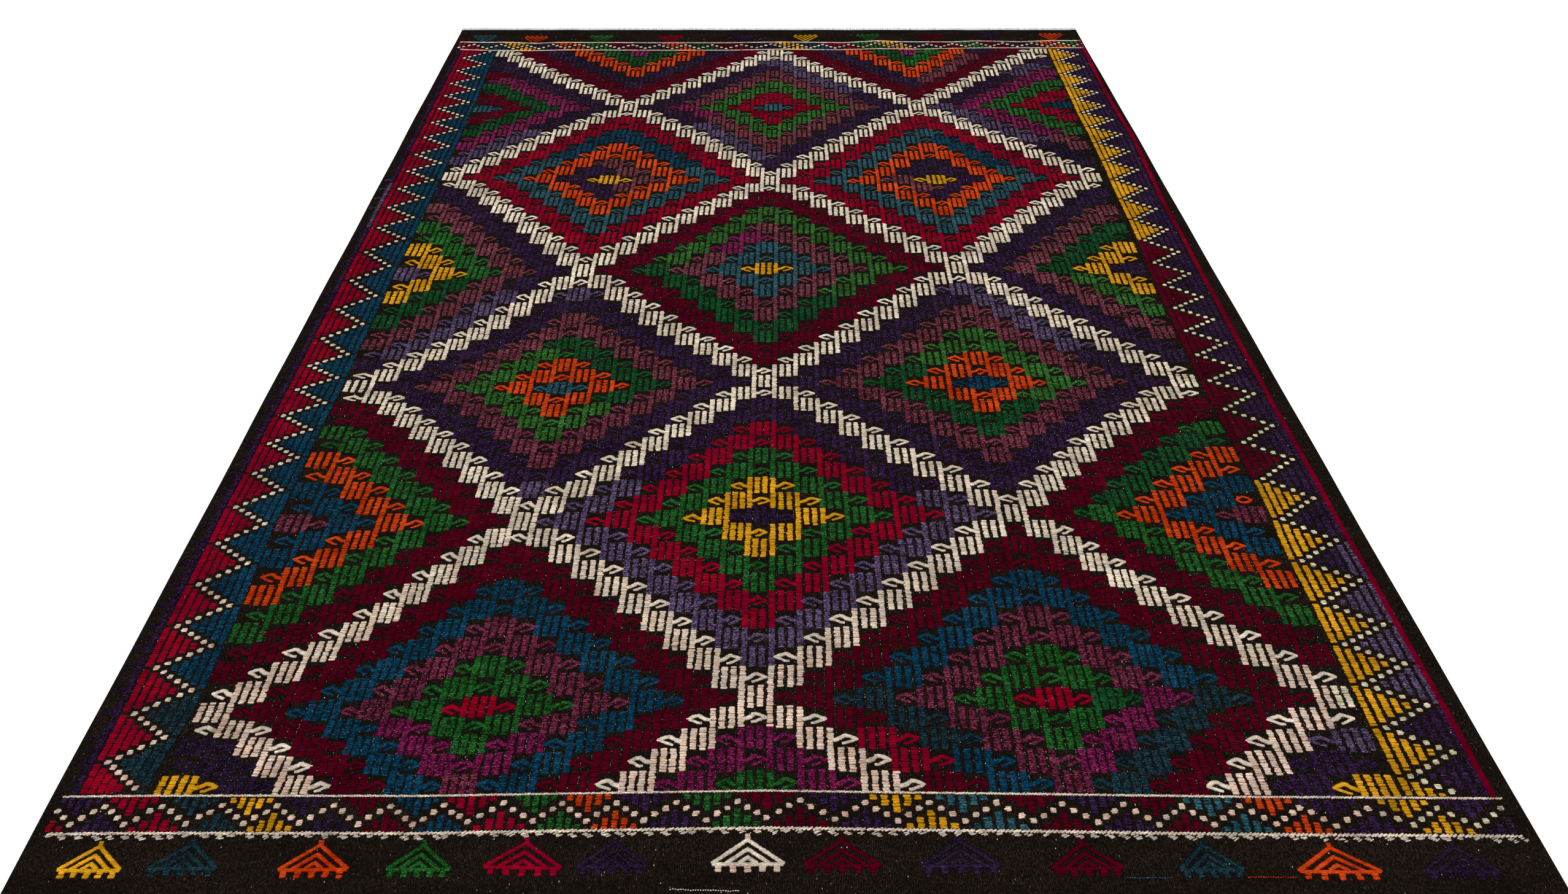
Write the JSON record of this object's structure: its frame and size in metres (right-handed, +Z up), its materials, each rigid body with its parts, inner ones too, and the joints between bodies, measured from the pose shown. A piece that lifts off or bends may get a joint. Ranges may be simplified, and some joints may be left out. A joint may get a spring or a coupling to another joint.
{
  "type": "kilim rug",
  "caption": "Flat rectangular kilim rug: a thin brocaded wool cloth with raised twined lines, plain ends and a short warp fringe at each end, resting flat on a floor.",
  "frame": {"origin": "on the floor, under the middle of the rug: the centre of the bottom face of its box", "axes": "+X across the rug, +Y along it towards the far end, +Z up from the floor through the woven face"},
  "size_m": [1.62, 2.6368, 0.0042],
  "materials": {
    "woven_wool": "matt wool weave with coloured brocade",
    "warp_yarn": "matt undyed cotton yarn"
  },
  "bodies": {
    "root": {"cloth": "woven_wool", "fringe_far": "warp_yarn", "fringe_near": "warp_yarn"}
  },
  "joints": []
}
